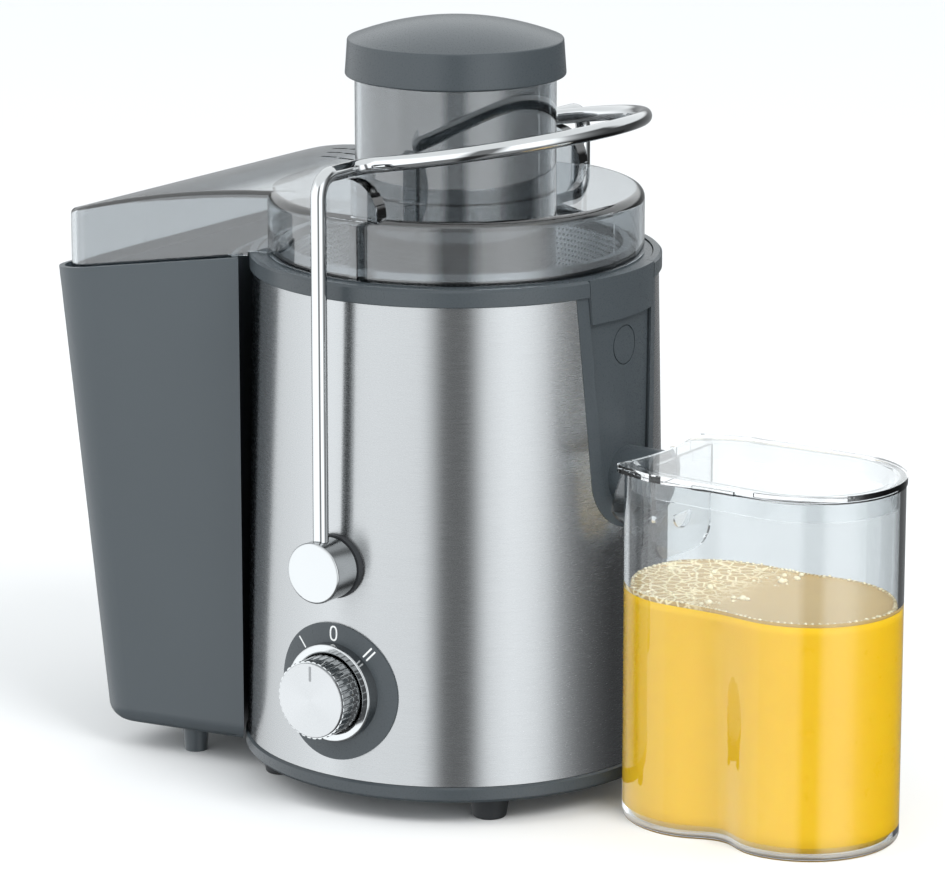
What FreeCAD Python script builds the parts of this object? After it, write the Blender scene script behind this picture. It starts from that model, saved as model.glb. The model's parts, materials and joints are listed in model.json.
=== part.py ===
import FreeCAD, Part
import math
import os

V = FreeCAD.Vector
X_AXIS = V(1, 0, 0)
Y_AXIS = V(0, 1, 0)
Z_AXIS = V(0, 0, 1)

# Centrifugal juicer, millimetres, +Z up. Every piece is drawn about the motor spindle:
# +X points to the juice outlet and the jug, -X to the pulp bin, -Y to the switch knob.
# When the pieces are written out, all of them move by ORIGIN_SHIFT, which puts the origin
# under the centre of the whole juicer, on the surface that it stands on.
ORIGIN_SHIFT = V(-28.93, 1.15, 0)

# ---- driving dimensions ----
WALL = 2.2                  # moulded wall thickness
GAP = 0.4                   # clearance between parts that lift apart

FOOT_H = 9.6
FOOT_AT = 70.0              # the body's four rubber feet
BASE_R = 83.5               # plastic ring around the foot of the body
BASE_TOP = 15.8
SKIN_R_LOW = 82.7           # steel skin, tapering upwards
SKIN_R_TOP = 78.8
SKIN_TOP = 201.4
SKIN_T = 0.6
RING_R = 80.0               # plastic ring around the top of the body
RING_TOP = 208.2
RING_R_IN = 76.6

DECK_Z = 108.0              # floor between the motor room and the juice bowl
DECK_T = 3.0
LEDGE_T = 2.5               # ledge inside the shell that carries the deck
LEDGE_R_IN = 74.5
SHELL_IN = 0.8              # the plastic shell lies this far inside the steel's outside
MOTOR_POST_AT = 28.0        # four posts under the deck hold the motor
COLUMN_R = 4.5              # screw columns that reach from the deck to the bottom plate
COLUMN_AT = 64.0
COLUMN_TURN = 22.5

SHAFT_R = 4.0               # motor
BEARING_R = 7.9
BRACKET_R = 35.0
STATOR_R = 34.0
STATOR_Z = (50.0, 80.0)
ROTOR_R = 19.7
FAN_R = 36.0
FAN_Z = 26.0

PIVOT_Z = 99.0              # axis of the locking arm
KNOB_Z = 49.6               # axis of the switch knob
KNOB_R = 15.3
KNOB_FRONT = 97.0
KNOB_FACE_R = 14.6
KNOB_FACE_FRONT = 97.8
KNOB_COLLAR_R = 19.2
KNOB_COLLAR_FRONT = 86.4
DIAL_R = 26.8
CORD_Z = 28.0               # axis of the cord inlet, at the back
CORD_BORE_R = 3.3
NOZZLE_Z = 129.0            # axis of the juice outlet
NOZZLE_R = 11.5
NOZZLE_END = 95.0

BOWL_R = 72.0
BOWL_FLOOR = 140.0
BASKET_LOW = 147.0
BASKET_TOP = 212.0
BASKET_R_LOW = 41.0
BASKET_R_TOP = 66.0

COVER_R = 73.1
COVER_TOP = 232.4
COVER_T = 2.0
WING_STEP = 0.2             # the wing's roof lies this much below the round lid's top
LID_TRIM_X = -45.0          # left of this, the wing's roof takes the place of the lid's top
CHUTE_R = 38.9
CHUTE_LOW = 168.0
CHUTE_TOP = 275.8
WING_END = 134.0            # the wing reaches out over the pulp bin
WING_START = 57.6
WING_START_HALF = 50.4
EAR_X = (-12.0, 14.0)       # the cover's front ear, which the arm locks down
EAR_Y = (-72.0, -66.0)
RIB_X = (2.2, 5.6)          # upright rib on the cover's wall, under the front ear

CAP_R = 42.7
CAP_LOW = 276.5
CAP_CREASE = 290.4
CAP_TOP = 298.4
PUSHER_R = 36.2
PUSHER_LOW = 176.0

HUB_R = 11.8                # locking arm
HUB_FRONT = 95.5
PIN_R = 4.0
ROD_R = 3.0
ROD_Y = 90.0
ROD_BEND_R = 8.0
ROD_TOP = 250.0
LOOP_HALF = 62.5
LOOP_START = 13.0
LOOP_RISE = math.radians(10.2)
CAM_R = 7.8                 # cam on the front pin, for the safety switch
CAM_LIFT = 1.5
CAM_Y = -69.5

BIN_OUTER = 139.0           # pulp bin
BIN_OUTER_LOW = 131.0
BIN_LOW = 11.0
BIN_RIM_AT_BODY = 205.8
BIN_RIM_SLOPE = 0.111
BIN_HOLLOW_R = 84.7
BIN_FLARE = 0.45            # how much its half width grows with the distance from the spindle
BIN_FLARE_LOW = 0.13
BIN_LOFT_TOP = 210.0

JUG_NEAR_X = 118.0          # jug: two round ends joined by waisted sides
JUG_NEAR_R = 33.6
JUG_FAR_X = 160.5
JUG_FAR_R = 35.6
JUG_WAIST = 28.5
JUG_RIM = 138.0
JUG_T = 2.2
BEAK_HALF = 18.5            # half pipe on the jug that reaches under the juice outlet
BEAK_LIP_R = 83.4           # its lip follows the body at this distance from the spindle
SEPARATOR_X = 103.5
SEPARATOR_HALF = 20.0
SEPARATOR_LOW = 102.0
SEPARATOR_CORNER = 10.0
LID_HOLLOW_R = 97.0         # the lid's edge at the body is hollowed to this radius
LID_T = 3.0
COLLAR_H = 7.4              # collar under the lid, inside the jug's rim

nodes = {}


# ---- shape helpers ----
def cylinder(radius, low, high, at=(0, 0)):
    return Part.makeCylinder(radius, high - low, V(at[0], at[1], low))


def tube(r_out, r_in, low, high, at=(0, 0)):
    return cylinder(r_out, low, high, at).cut(cylinder(r_in, low - 1, high + 1, at))


def rod_y(radius, y_low, y_high, x, z):
    return Part.makeCylinder(radius, y_high - y_low, V(x, y_low, z), Y_AXIS)


def tube_y(r_out, r_in, y_low, y_high, x, z):
    return rod_y(r_out, y_low, y_high, x, z).cut(rod_y(r_in, y_low - 1, y_high + 1, x, z))


def rod_x(radius, x_low, x_high, y, z):
    return Part.makeCylinder(radius, x_high - x_low, V(x_low, y, z), X_AXIS)


def block(x, y, z):
    return Part.makeBox(x[1] - x[0], y[1] - y[0], z[1] - z[0], V(x[0], y[0], z[0]))


def cone(r_low, r_high, low, high, at=(0, 0)):
    return Part.makeCone(r_low, r_high, high - low, V(at[0], at[1], low))


def lathe(profile):
    """Turn a closed outline of (radius, z) corners about the spindle."""
    corners = [V(r, 0, z) for r, z in profile]
    face = Part.Face(Part.makePolygon(corners + corners[:1]))
    return face.revolve(V(0, 0, 0), Z_AXIS, 360)


def prism(wire, low, high):
    """Extrude a flat closed wire drawn at z = 0."""
    solid = Part.Face(wire).extrude(V(0, 0, high - low))
    solid.translate(V(0, 0, low))
    return solid


def rounded(corners, z=0.0):
    """Closed wire through (x, y, corner radius) corners, each corner an arc."""
    count = len(corners)
    arcs = []
    for i, (x, y, radius) in enumerate(corners):
        here = V(x, y, z)
        back = V(corners[i - 1][0], corners[i - 1][1], z).sub(here).normalize()
        ahead = corners[(i + 1) % count]
        onward = V(ahead[0], ahead[1], z).sub(here).normalize()
        half = back.getAngle(onward) / 2
        reach = radius / math.tan(half)
        bisector = back.add(onward).normalize()
        middle = here.add(bisector * (radius / math.sin(half) - radius))
        arcs.append((here.add(back * reach), middle, here.add(onward * reach)))
    edges = []
    for i, (start, middle, end) in enumerate(arcs):
        edges.append(Part.Arc(start, middle, end).toShape())
        edges.append(Part.LineSegment(end, arcs[(i + 1) % count][0]).toShape())
    return Part.Wire(edges)


def soften(shape, radius, wanted):
    """Round every edge whose middle point passes the test."""
    edges = [e for e in shape.Edges if wanted(e.valueAt((e.FirstParameter + e.LastParameter) / 2), e)]
    return shape.makeFillet(radius, edges)


def level(z):
    """Edge test: the whole edge lies at height z."""
    return lambda point, edge: edge.BoundBox.ZLength < 0.01 and abs(point.z - z) < 0.01


def facing(y):
    """Edge test: the whole edge lies in the upright plane at y."""
    return lambda point, edge: edge.BoundBox.YLength < 0.01 and abs(point.y - y) < 0.01


def joined(pieces):
    return pieces[0].multiFuse(pieces[1:]).removeSplitter()


def around(shape, count, start=0.0):
    """Copies of a shape, evenly spaced about the spindle."""
    copies = []
    for i in range(count):
        copy = shape.copy()
        copy.rotate(V(0, 0, 0), Z_AXIS, start + i * 360.0 / count)
        copies.append(copy)
    return copies


def mirrored_y(shape):
    return shape.mirror(V(0, 0, 0), Y_AXIS)


def skin_radius(z):
    """Outer radius of the steel skin at height z."""
    share = (z - BASE_TOP) / (SKIN_TOP - BASE_TOP)
    return SKIN_R_LOW + (SKIN_R_TOP - SKIN_R_LOW) * share


def body_cone(depth, low, high):
    """Solid of the tapered body, depth millimetres inside the steel surface."""
    return cone(skin_radius(low) - depth, skin_radius(high) - depth, low, high)


# ---- outlet cut-out: a tapered U on the +X side, seen along X ----
def outlet_u(half_top, z_top, half_low, z_low, grow=0.0):
    """Prism of the U: straight sides that narrow downwards to a half circle."""
    low = half_low + grow
    top = half_top + grow
    left_low = V(50, -low, z_low)
    right_low = V(50, low, z_low)
    left_top = V(50, -top, z_top)
    right_top = V(50, top, z_top)
    outline = Part.Wire([
        Part.Arc(left_low, V(50, 0, z_low - low), right_low).toShape(),
        Part.LineSegment(right_low, right_top).toShape(),
        Part.LineSegment(right_top, left_top).toShape(),
        Part.LineSegment(left_top, left_low).toShape(),
    ])
    return Part.Face(outline).extrude(V(60, 0, 0))


FRAME_U = (28.8, 215.0, 22.0, 131.0)
TONGUE_U = (23.2, 215.0, 15.6, 130.0)


# ---- base ----
def make_base():
    nodes["base_ring"] = lathe([
        (78.6, FOOT_H), (82.5, FOOT_H), (BASE_R, 10.8), (BASE_R, 14.8),
        (82.7, 15.6), (78.6, 15.6),
    ])
    plate = cylinder(78.4, FOOT_H, 12.1)
    slot = block((20, 44), (-2, 2), (FOOT_H - 1, 13))
    plate = plate.cut(Part.makeCompound(around(slot, 16, 11.25)))
    plate = plate.cut(Part.makeCompound(around(cylinder(3.2, 9, 13, (FOOT_AT, 0)), 4, 45)))
    plate = plate.cut(Part.makeCompound(around(cylinder(2.0, 9, 13, (COLUMN_AT, 0)), 4, COLUMN_TURN)))
    nodes["bottom_plate"] = plate

    screw = joined([cylinder(3.4, FOOT_H - 1.6, FOOT_H), cylinder(1.6, FOOT_H - 0.1, 26)])
    screw.translate(V(COLUMN_AT, 0, 0))
    nodes["base_screws"] = Part.makeCompound(around(screw, 4, COLUMN_TURN))

    foot = cone(6.4, 8.0, 0, FOOT_H, (FOOT_AT, 0))
    foot = soften(foot, 1.0, level(0))
    foot = joined([foot, cylinder(3.0, FOOT_H - 0.5, 13.5, (FOOT_AT, 0))])
    names = ("foot_rear_right", "foot_rear_left", "foot_front_left", "foot_front_right")
    for name, copy in zip(names, around(foot, 4, 45)):
        nodes[name] = copy


# ---- body shell ----
def make_body():
    side_hole = rod_y(7.0, -100, 100, 0, PIVOT_Z)
    knob_hole = rod_y(5.0, -100, -60, 0, KNOB_Z)
    cord_hole = rod_y(7.1, 60, 100, 0, CORD_Z)

    shell = body_cone(SHELL_IN, 15.9, 201.2).cut(body_cone(SHELL_IN + WALL, 15.0, 202.0))
    shelf = body_cone(1.0, 198.4, 201.2).cut(cylinder(BOWL_R + GAP, 190, 210))
    ledge = body_cone(1.0, DECK_Z - LEDGE_T, DECK_Z - 0.05).cut(cylinder(LEDGE_R_IN, 100, 120))
    frame = joined([shell, shelf, ledge]).cut(outlet_u(*TONGUE_U, grow=GAP + 0.4))
    nodes["housing_frame"] = frame.cut(side_hole).cut(knob_hole).cut(cord_hole)

    deck = body_cone(SHELL_IN + WALL + 0.2, DECK_Z, DECK_Z + DECK_T).cut(cylinder(9.0, 100, 120))
    columns = around(tube(COLUMN_R, 1.7, 12.3, DECK_Z + 1, (COLUMN_AT, 0)), 4, COLUMN_TURN)
    posts = around(tube(6.0, 1.7, 98.2, DECK_Z + 1, (MOTOR_POST_AT, 0)), 4, 45)
    nodes["motor_deck"] = joined([deck] + columns + posts)

    skin = body_cone(0, BASE_TOP, SKIN_TOP).cut(body_cone(SKIN_T, 15.0, 202.0))
    skin = skin.cut(outlet_u(*FRAME_U))
    nodes["steel_skin"] = skin.cut(side_hole).cut(knob_hole).cut(cord_hole)

    ring = lathe([
        (RING_R_IN, 201.5), (79.6, 201.5), (RING_R, 201.9), (RING_R, RING_TOP - 0.9),
        (79.1, RING_TOP), (RING_R_IN, RING_TOP),
    ])
    nodes["top_ring"] = ring.cut(outlet_u(*TONGUE_U, grow=GAP))

    surround = body_cone(-0.1, 105.0, SKIN_TOP).cut(body_cone(0.7, 104.0, 202.0))
    surround = surround.common(outlet_u(*FRAME_U, grow=-0.15))
    nodes["spout_surround"] = surround.cut(outlet_u(*TONGUE_U, grow=GAP))

    gland = joined([rod_y(7.0, 74, 90, 0, CORD_Z), rod_y(9.5, 82.9, 86, 0, CORD_Z)])
    nodes["cord_gland"] = gland.cut(rod_y(CORD_BORE_R, 70, 100, 0, CORD_Z))


# ---- motor ----
def make_motor():
    nodes["motor_shaft"] = cylinder(SHAFT_R, 24, 134)
    bolt_holes = Part.makeCompound(around(cylinder(2.2, 30, 100, (MOTOR_POST_AT, 0)), 4, 45))

    upper = joined([cylinder(BRACKET_R, 92, 94.5), cylinder(11, 88, 97)])
    upper = upper.cut(cylinder(BEARING_R + 0.1, 80, 100)).cut(bolt_holes)
    vent = cylinder(6.0, 90, 96, (22, 0))
    nodes["motor_bracket_upper"] = upper.cut(Part.makeCompound(around(vent, 4, 0)))
    lower = joined([cylinder(BRACKET_R, 40, 42.5), cylinder(11, 37, 46)])
    lower = lower.cut(cylinder(BEARING_R + 0.1, 30, 50)).cut(bolt_holes)
    vent = cylinder(6.0, 38, 44, (22, 0))
    nodes["motor_bracket_lower"] = lower.cut(Part.makeCompound(around(vent, 4, 0)))
    nodes["upper_bearing"] = tube(BEARING_R, SHAFT_R + 0.05, 88.5, 96.5)
    nodes["lower_bearing"] = tube(BEARING_R, SHAFT_R + 0.05, 37.5, 45.5)

    core = cylinder(STATOR_R, *STATOR_Z).cut(cylinder(ROTOR_R + 0.7, 40, 90)).cut(bolt_holes)
    flat = block((31, 40), (-40, 40), (40, 90))
    nodes["stator_core"] = core.cut(Part.makeCompound(around(flat, 2, 0)))
    coil = tube(26, ROTOR_R + 1.1, STATOR_Z[1] + 0.3, 87).common(block((3, 40), (-40, 40), (70, 100)))
    coils = around(coil, 2, 0)
    for piece in around(coil, 2, 0):
        piece.translate(V(0, 0, -37.3))
        coils.append(piece)
    nodes["field_windings"] = Part.makeCompound(coils)

    rotor = cylinder(ROTOR_R, 51, 79).cut(cylinder(SHAFT_R + 0.02, 40, 90))
    groove = block((17.2, 21), (-0.7, 0.7), (45, 85))
    nodes["rotor_core"] = rotor.cut(Part.makeCompound(around(groove, 12, 0)))
    nodes["commutator"] = tube(8.6, SHAFT_R + 0.02, 79.4, 87.4)
    brush = block((8.8, 19.6), (-2.5, 2.5), (80.6, 86.2))
    brush.rotate(V(0, 0, 0), Z_AXIS, 90)
    nodes["carbon_brushes"] = Part.makeCompound(around(brush, 2, 0))

    disc = joined([cylinder(FAN_R, FAN_Z, FAN_Z + 1.2), cylinder(8, FAN_Z, FAN_Z + 9)])
    blade = block((9, 35), (-0.6, 0.6), (FAN_Z + 1, FAN_Z + 8.5))
    blade.rotate(V(22, 0, 0), Z_AXIS, 25)
    fan = joined([disc] + around(blade, 10, 0)).common(cylinder(FAN_R, 20, 40))
    nodes["cooling_fan"] = fan.cut(cylinder(SHAFT_R + 0.02, 20, 40))

    post = (MOTOR_POST_AT, 0)
    nodes["motor_dampers"] = Part.makeCompound(around(tube(6.0, 2.3, 94.6, 98.1, post), 4, 45))
    bolt = joined([cylinder(3.8, 37.2, 39.9, post), cylinder(1.6, 39.8, 105, post)])
    nodes["motor_bolts"] = Part.makeCompound(around(bolt, 4, 45))
    nodes["shaft_seal"] = tube(8.9, 4.3, 107.5, 113)


# ---- drive and filter basket ----
def make_basket():
    coupler = joined([cylinder(10.5, 122, 140), cylinder(7.0, 139, 147.5)])
    dog = block((5, 9.5), (-1.8, 1.8), (139, 145))
    coupler = joined([coupler] + around(dog, 3, 0))
    nodes["drive_coupler"] = coupler.cut(cylinder(SHAFT_R + 0.02, 120, 134.2))

    base = joined([cylinder(BASKET_R_LOW, 148, 150.6), cylinder(13.5, 144, 150.6)])
    socket = joined([cylinder(7.3, 140, 147.8)] + around(block((4, 9.8), (-2.1, 2.1), (140, 145.4)), 3, 0))
    nodes["basket_base"] = base.cut(socket)
    nodes["filter_cone"] = cone(
        BASKET_R_LOW, BASKET_R_TOP, 150.7, BASKET_TOP - 4
    ).cut(cone(BASKET_R_LOW - 0.8, BASKET_R_TOP - 0.8, 150.7, BASKET_TOP - 4))
    rim = lathe([
        (BASKET_R_TOP - 1.0, BASKET_TOP - 3.9), (BASKET_R_TOP + 2.0, BASKET_TOP - 3.9),
        (BASKET_R_TOP + 2.6, BASKET_TOP - 2.5), (BASKET_R_TOP + 2.0, BASKET_TOP),
        (BASKET_R_TOP - 1.0, BASKET_TOP),
    ])
    nodes["basket_rim"] = rim

    teeth = []
    for row in range(4):
        radius = 12.0 + 7.0 * row
        for tooth in around(cone(1.2, 0.3, 151.8, 153.4, (radius, 0)), 8 + 4 * row, 9 * row):
            teeth.append(tooth)
    nodes["grater_disc"] = joined([cylinder(39.8, 150.8, 152.0)] + teeth)


# ---- juice bowl with its outlet tongue ----
def make_bowl():
    floor_top = BOWL_FLOOR + WALL
    bowl = lathe([
        (12.5, BOWL_FLOOR), (BOWL_R - 8, BOWL_FLOOR), (BOWL_R, BOWL_FLOOR + 8),
        (BOWL_R, 205.4), (76.2, 205.4), (76.2, RING_TOP - 0.5), (BOWL_R - 2, RING_TOP - 0.5),
        (BOWL_R - 2, BOWL_FLOOR + 9), (BOWL_R - 9, floor_top), (12.5, floor_top),
    ])
    sump = cylinder(NOZZLE_R + 1, NOZZLE_Z - NOZZLE_R, BOWL_FLOOR + 1, (54, 0))
    pipe = rod_x(NOZZLE_R, 54, NOZZLE_END, 0, NOZZLE_Z)
    panel = body_cone(1.3, 112.0, 191.2).cut(body_cone(4.0, 111.0, 192.0))
    segment = tube(RING_R - 0.1, 76.9, 191.0, RING_TOP)
    tongue_u = outlet_u(*TONGUE_U)
    web = tube(RING_R - 0.5, 76.0, 205.4, RING_TOP - 0.5)
    tongue = joined([panel, segment, web]).common(tongue_u)
    bowl = joined([bowl, sump, pipe, tongue])
    bore = joined([
        cylinder(NOZZLE_R - 1, NOZZLE_Z - NOZZLE_R + WALL, BOWL_FLOOR + 5, (54, 0)),
        rod_x(NOZZLE_R - WALL, 54, NOZZLE_END + 1, 0, NOZZLE_Z),
    ])
    bowl = bowl.cut(bore)
    plug_groove = rod_x(7.7, 60, 100, 0, 179.7).cut(rod_x(7.2, 60, 100, 0, 179.7))
    plug_groove = plug_groove.common(body_cone(-5, 112, 195).cut(body_cone(1.9, 111, 196)))
    nodes["juice_bowl"] = bowl.cut(plug_groove)


# ---- cover with feed chute ----
def cover_wing(inset, roof_drop):
    """The part of the cover that reaches over the pulp bin, as a solid."""
    outer = WING_END - inset
    lean = inset * math.sqrt(1 + BIN_FLARE * BIN_FLARE)

    def half_at(x):
        return WING_START_HALF + BIN_FLARE * (x - WING_START) - lean

    corner = 12.0 - inset
    plan = rounded([
        (-20, -half_at(20), 1.0), (-20, half_at(20), 1.0),
        (-outer, half_at(outer), corner), (-outer, -half_at(outer), corner),
    ])
    solid = prism(plan, 180, 240)

    def skirt(x):
        return BIN_RIM_AT_BODY - BIN_RIM_SLOPE * (x - 71) - 3.0

    crown = COVER_TOP - WING_STEP - roof_drop
    end_z = 214.6 - roof_drop
    start = V(-WING_START, 0, crown)
    roof = Part.Wire([
        Part.LineSegment(V(-150, 0, skirt(150)), V(-10, 0, skirt(10))).toShape(),
        Part.LineSegment(V(-10, 0, skirt(10)), V(-10, 0, crown)).toShape(),
        Part.LineSegment(V(-10, 0, crown), start).toShape(),
        Part.Arc(start, V(-99, 0, 228.8 - roof_drop), V(-150, 0, end_z)).toShape(),
        Part.LineSegment(V(-150, 0, end_z), V(-150, 0, skirt(150))).toShape(),
    ])
    profile = Part.Face(roof).extrude(V(0, 240, 0))
    profile.translate(V(0, -120, 0))
    over_ring = cylinder(RING_R + 0.8 - inset, 150, RING_TOP + 0.2)
    over_bin_edge = cylinder(BIN_HOLLOW_R + WALL + 1.5 - inset, 150, BIN_RIM_AT_BODY + 1.0)
    return solid.common(profile).cut(over_ring).cut(over_bin_edge)


def ear():
    """Rounded upright plate on the cover's edge: the arm's rod rests on top of it."""
    reach = ROD_TOP - PIVOT_Z - ROD_R - 0.35
    left, right = EAR_X
    low = COVER_TOP - 1.2
    top_left = PIVOT_Z + math.sqrt(reach ** 2 - left ** 2)
    top_quarter = PIVOT_Z + math.sqrt(reach ** 2 - left ** 2 / 4)
    crown = V(0, 0, PIVOT_Z + reach)
    outline = Part.Wire([
        Part.LineSegment(V(left, 0, low), V(left, 0, top_left)).toShape(),
        Part.Arc(V(left, 0, top_left), V(left / 2, 0, top_quarter), crown).toShape(),
        Part.Arc(crown, V(9.9, 0, 242.5), V(right, 0, 232.6)).toShape(),
        Part.LineSegment(V(right, 0, 232.6), V(right, 0, low)).toShape(),
        Part.LineSegment(V(right, 0, low), V(left, 0, low)).toShape(),
    ])
    solid = Part.Face(outline).extrude(V(0, EAR_Y[1] - EAR_Y[0], 0))
    solid.translate(V(0, EAR_Y[0], 0))
    return solid


def make_cover():
    def wing_edge(point, edge):
        return point.z > 218 and point.x < -22 and edge.BoundBox.ZLength < 16 and abs(point.y) > 0.01

    lid = soften(cylinder(COVER_R, RING_TOP, COVER_TOP), 3.5, level(COVER_TOP))
    wing = cover_wing(0, 0)
    lid = lid.cut(wing.common(block((-90, LID_TRIM_X), (-70, 70), (RING_TOP - 1, COVER_TOP + 1))))
    lid = lid.cut(block((-90, -58), (-48, 48), (COVER_TOP - 8, COVER_TOP + 1)))
    wing = soften(wing, 2.5, wing_edge)
    rib = block(RIB_X, (-COVER_R - 0.7, -COVER_R + 1.5), (RING_TOP + 0.6, COVER_TOP - 3.0))
    outer = joined([lid, wing, ear(), mirrored_y(ear()), rib])
    inner = joined([
        cylinder(COVER_R - COVER_T, RING_TOP - 1, COVER_TOP - COVER_T),
        cover_wing(COVER_T, COVER_T),
    ])
    cover = outer.cut(inner)
    cover = joined([cover, cylinder(CHUTE_R, CHUTE_LOW, CHUTE_TOP)])
    cover = cover.cut(cylinder(CHUTE_R - COVER_T, CHUTE_LOW - 1, CHUTE_TOP + 1))
    vent = rounded([(-4.6, -0.8, 0.7), (4.6, -0.8, 0.7), (4.6, 0.8, 0.7), (-4.6, 0.8, 0.7)])
    slots = []
    for row in range(3):
        for side in range(2):
            centre = V(-71.0 - 5.5 * row - 11.0 * side, 26.0 + 11.5 * row + 3.5 * side, 225)
            slot = prism(vent, 0, 12)
            slot.rotate(V(0, 0, 0), Z_AXIS, 166)
            slot.translate(centre)
            slots.append(slot)
    nodes["cover"] = cover.cut(Part.makeCompound(slots))


def make_pusher():
    crease_r = CAP_R - 1.0
    dome = CAP_TOP - CAP_CREASE
    ball_r = (crease_r * crease_r + dome * dome) / (2 * dome)
    ball = Part.makeSphere(ball_r, V(0, 0, CAP_TOP - ball_r))
    top = cylinder(crease_r, CAP_CREASE, CAP_TOP + 1).common(ball)
    cap = joined([cone(CAP_R, crease_r, CAP_LOW, CAP_CREASE), top])
    cap = soften(cap, 0.8, lambda p, e: level(CAP_LOW)(p, e) or level(CAP_CREASE)(p, e))
    nodes["pusher_cap"] = cap.cut(tube(PUSHER_R + 0.1, PUSHER_R - 2.1, CAP_LOW - 1, CAP_LOW + 6))
    stem = cylinder(PUSHER_R, PUSHER_LOW, CAP_LOW + 5.9)
    nodes["pusher_tube"] = stem.cut(cylinder(PUSHER_R - 2.0, PUSHER_LOW + 2.5, CAP_LOW + 7))


# ---- pulp bin ----
def bin_plan(share, inset, z):
    """Outline of the bin at a share of its height, 0 at the bottom and 1 at the rim."""
    outer = BIN_OUTER_LOW + (BIN_OUTER - BIN_OUTER_LOW) * share - inset
    slope = BIN_FLARE_LOW + (BIN_FLARE - BIN_FLARE_LOW) * share
    near = 57.8 - 0.6 * share - inset * math.sqrt(1 + slope * slope)

    def half_at(x):
        return near + slope * (x - 62.0)

    corner = 15.0 - inset
    return rounded([
        (-50, -half_at(50), 2.0), (-50, half_at(50), 2.0),
        (-outer, half_at(outer), corner), (-outer, -half_at(outer), corner),
    ], z)


def bin_solid(inset, low):
    height = BIN_LOFT_TOP - BIN_LOW
    sections = [bin_plan((z - BIN_LOW) / height, inset, z) for z in (low, BIN_LOFT_TOP)]
    solid = Part.makeLoft(sections, True, True)
    return solid.cut(cylinder(BIN_HOLLOW_R + inset, low - 1, 215))


def make_bin():
    outer = bin_solid(0, BIN_LOW)
    outer = soften(outer, 8.0, lambda p, e: level(BIN_LOW)(p, e) and math.hypot(p.x, p.y) > BIN_HOLLOW_R + 1)
    shell = outer.cut(bin_solid(WALL, BIN_LOW + WALL))
    rim = Part.makePolygon([
        V(-40, 0, BIN_RIM_AT_BODY + BIN_RIM_SLOPE * 31), V(-150, 0, BIN_RIM_AT_BODY - BIN_RIM_SLOPE * 79),
        V(-150, 0, 230), V(-40, 0, 230), V(-40, 0, BIN_RIM_AT_BODY + BIN_RIM_SLOPE * 31),
    ])
    above = Part.Face(rim).extrude(V(0, 240, 0))
    above.translate(V(0, -120, 0))
    shell = shell.cut(above)
    feet = [cone(4.5, 5.5, 0, BIN_LOW + 1.5, (-95, side * 46)) for side in (-1, 1)]
    nodes["pulp_bin"] = joined([shell] + feet)


# ---- jug, lid and froth separator ----
def jug_plan(inset, waist, z):
    """Two round ends, joined by sides that curve in to the waist."""
    near_r = JUG_NEAR_R - inset
    far_r = JUG_FAR_R - inset
    mid = (JUG_NEAR_X + JUG_FAR_X) / 2
    edges = [Part.Arc(V(JUG_NEAR_X, near_r, z), V(JUG_NEAR_X - near_r, 0, z), V(JUG_NEAR_X, -near_r, z))]
    edges.append(Part.Arc(V(JUG_FAR_X, -far_r, z), V(JUG_FAR_X + far_r, 0, z), V(JUG_FAR_X, far_r, z)))
    for side in (-1, 1):
        curve = Part.BSplineCurve()
        points = [V(JUG_NEAR_X, side * near_r, z), V(mid, side * (waist - inset), z),
                  V(JUG_FAR_X, side * far_r, z)]
        curve.interpolate(Points=points, Tangents=[X_AXIS, X_AXIS, X_AXIS], TangentFlags=[True, True, True])
        edges.append(curve)
    return Part.Wire(Part.__sortEdges__([e.toShape() for e in edges]))


def jug_solid(inset, low, high):
    """Jug volume: the waist is deepest at the bottom and fades out below the rim."""
    straight = (JUG_NEAR_R + JUG_FAR_R) / 2
    sections = []
    for z in (low, 21.0, 42.0, 63.0, 84.0, 105.0, high):
        share = min(1.0, max(0.0, z / 105.0))
        waist = JUG_WAIST + (straight - JUG_WAIST) * share ** 2
        sections.append(jug_plan(inset, waist, z))
    return Part.makeLoft(sections, True, True)


def jug_top(inset, low, high):
    """The straight-sided band at the top of the jug."""
    return prism(jug_plan(inset, (JUG_NEAR_R + JUG_FAR_R) / 2, 0), low, high)


def beak(inset, x_low, x_high):
    """Half pipe on the jug that reaches under the juice outlet."""
    half = BEAK_HALF - inset
    low = NOZZLE_Z - 0.5
    outline = Part.Wire([
        Part.Arc(V(x_low, -half, low), V(x_low, 0, low - half), V(x_low, half, low)).toShape(),
        Part.LineSegment(V(x_low, half, low), V(x_low, half, JUG_RIM + inset)).toShape(),
        Part.LineSegment(V(x_low, half, JUG_RIM + inset), V(x_low, -half, JUG_RIM + inset)).toShape(),
        Part.LineSegment(V(x_low, -half, JUG_RIM + inset), V(x_low, -half, low)).toShape(),
    ])
    return Part.Face(outline).extrude(V(x_high - x_low, 0, 0))


def beak_lip_cut():
    """What the beak's sloping lip leaves open, next to the body."""
    corners = [V(60, -40, 105), V(78.0, -40, 105), V(81.0, -40, 115), V(90.5, -40, JUG_RIM + 1),
               V(60, -40, JUG_RIM + 1)]
    side = Part.Face(Part.makePolygon(corners + corners[:1])).extrude(V(0, 80, 0))
    return joined([side, cylinder(BEAK_LIP_R, 90, JUG_RIM + 2)])


def lid_plan(z):
    """Lid outline: round at the far end, narrower and hollowed around the body at the near end."""
    half = JUG_FAR_R + 0.3
    return rounded([
        (92.0, -29.5, 6.0), (112.0, -half, 25.0), (JUG_FAR_X + half, -half, half - 0.5),
        (JUG_FAR_X + half, half, half - 0.5), (112.0, half, 25.0), (92.0, 29.5, 6.0),
    ], z)


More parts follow.
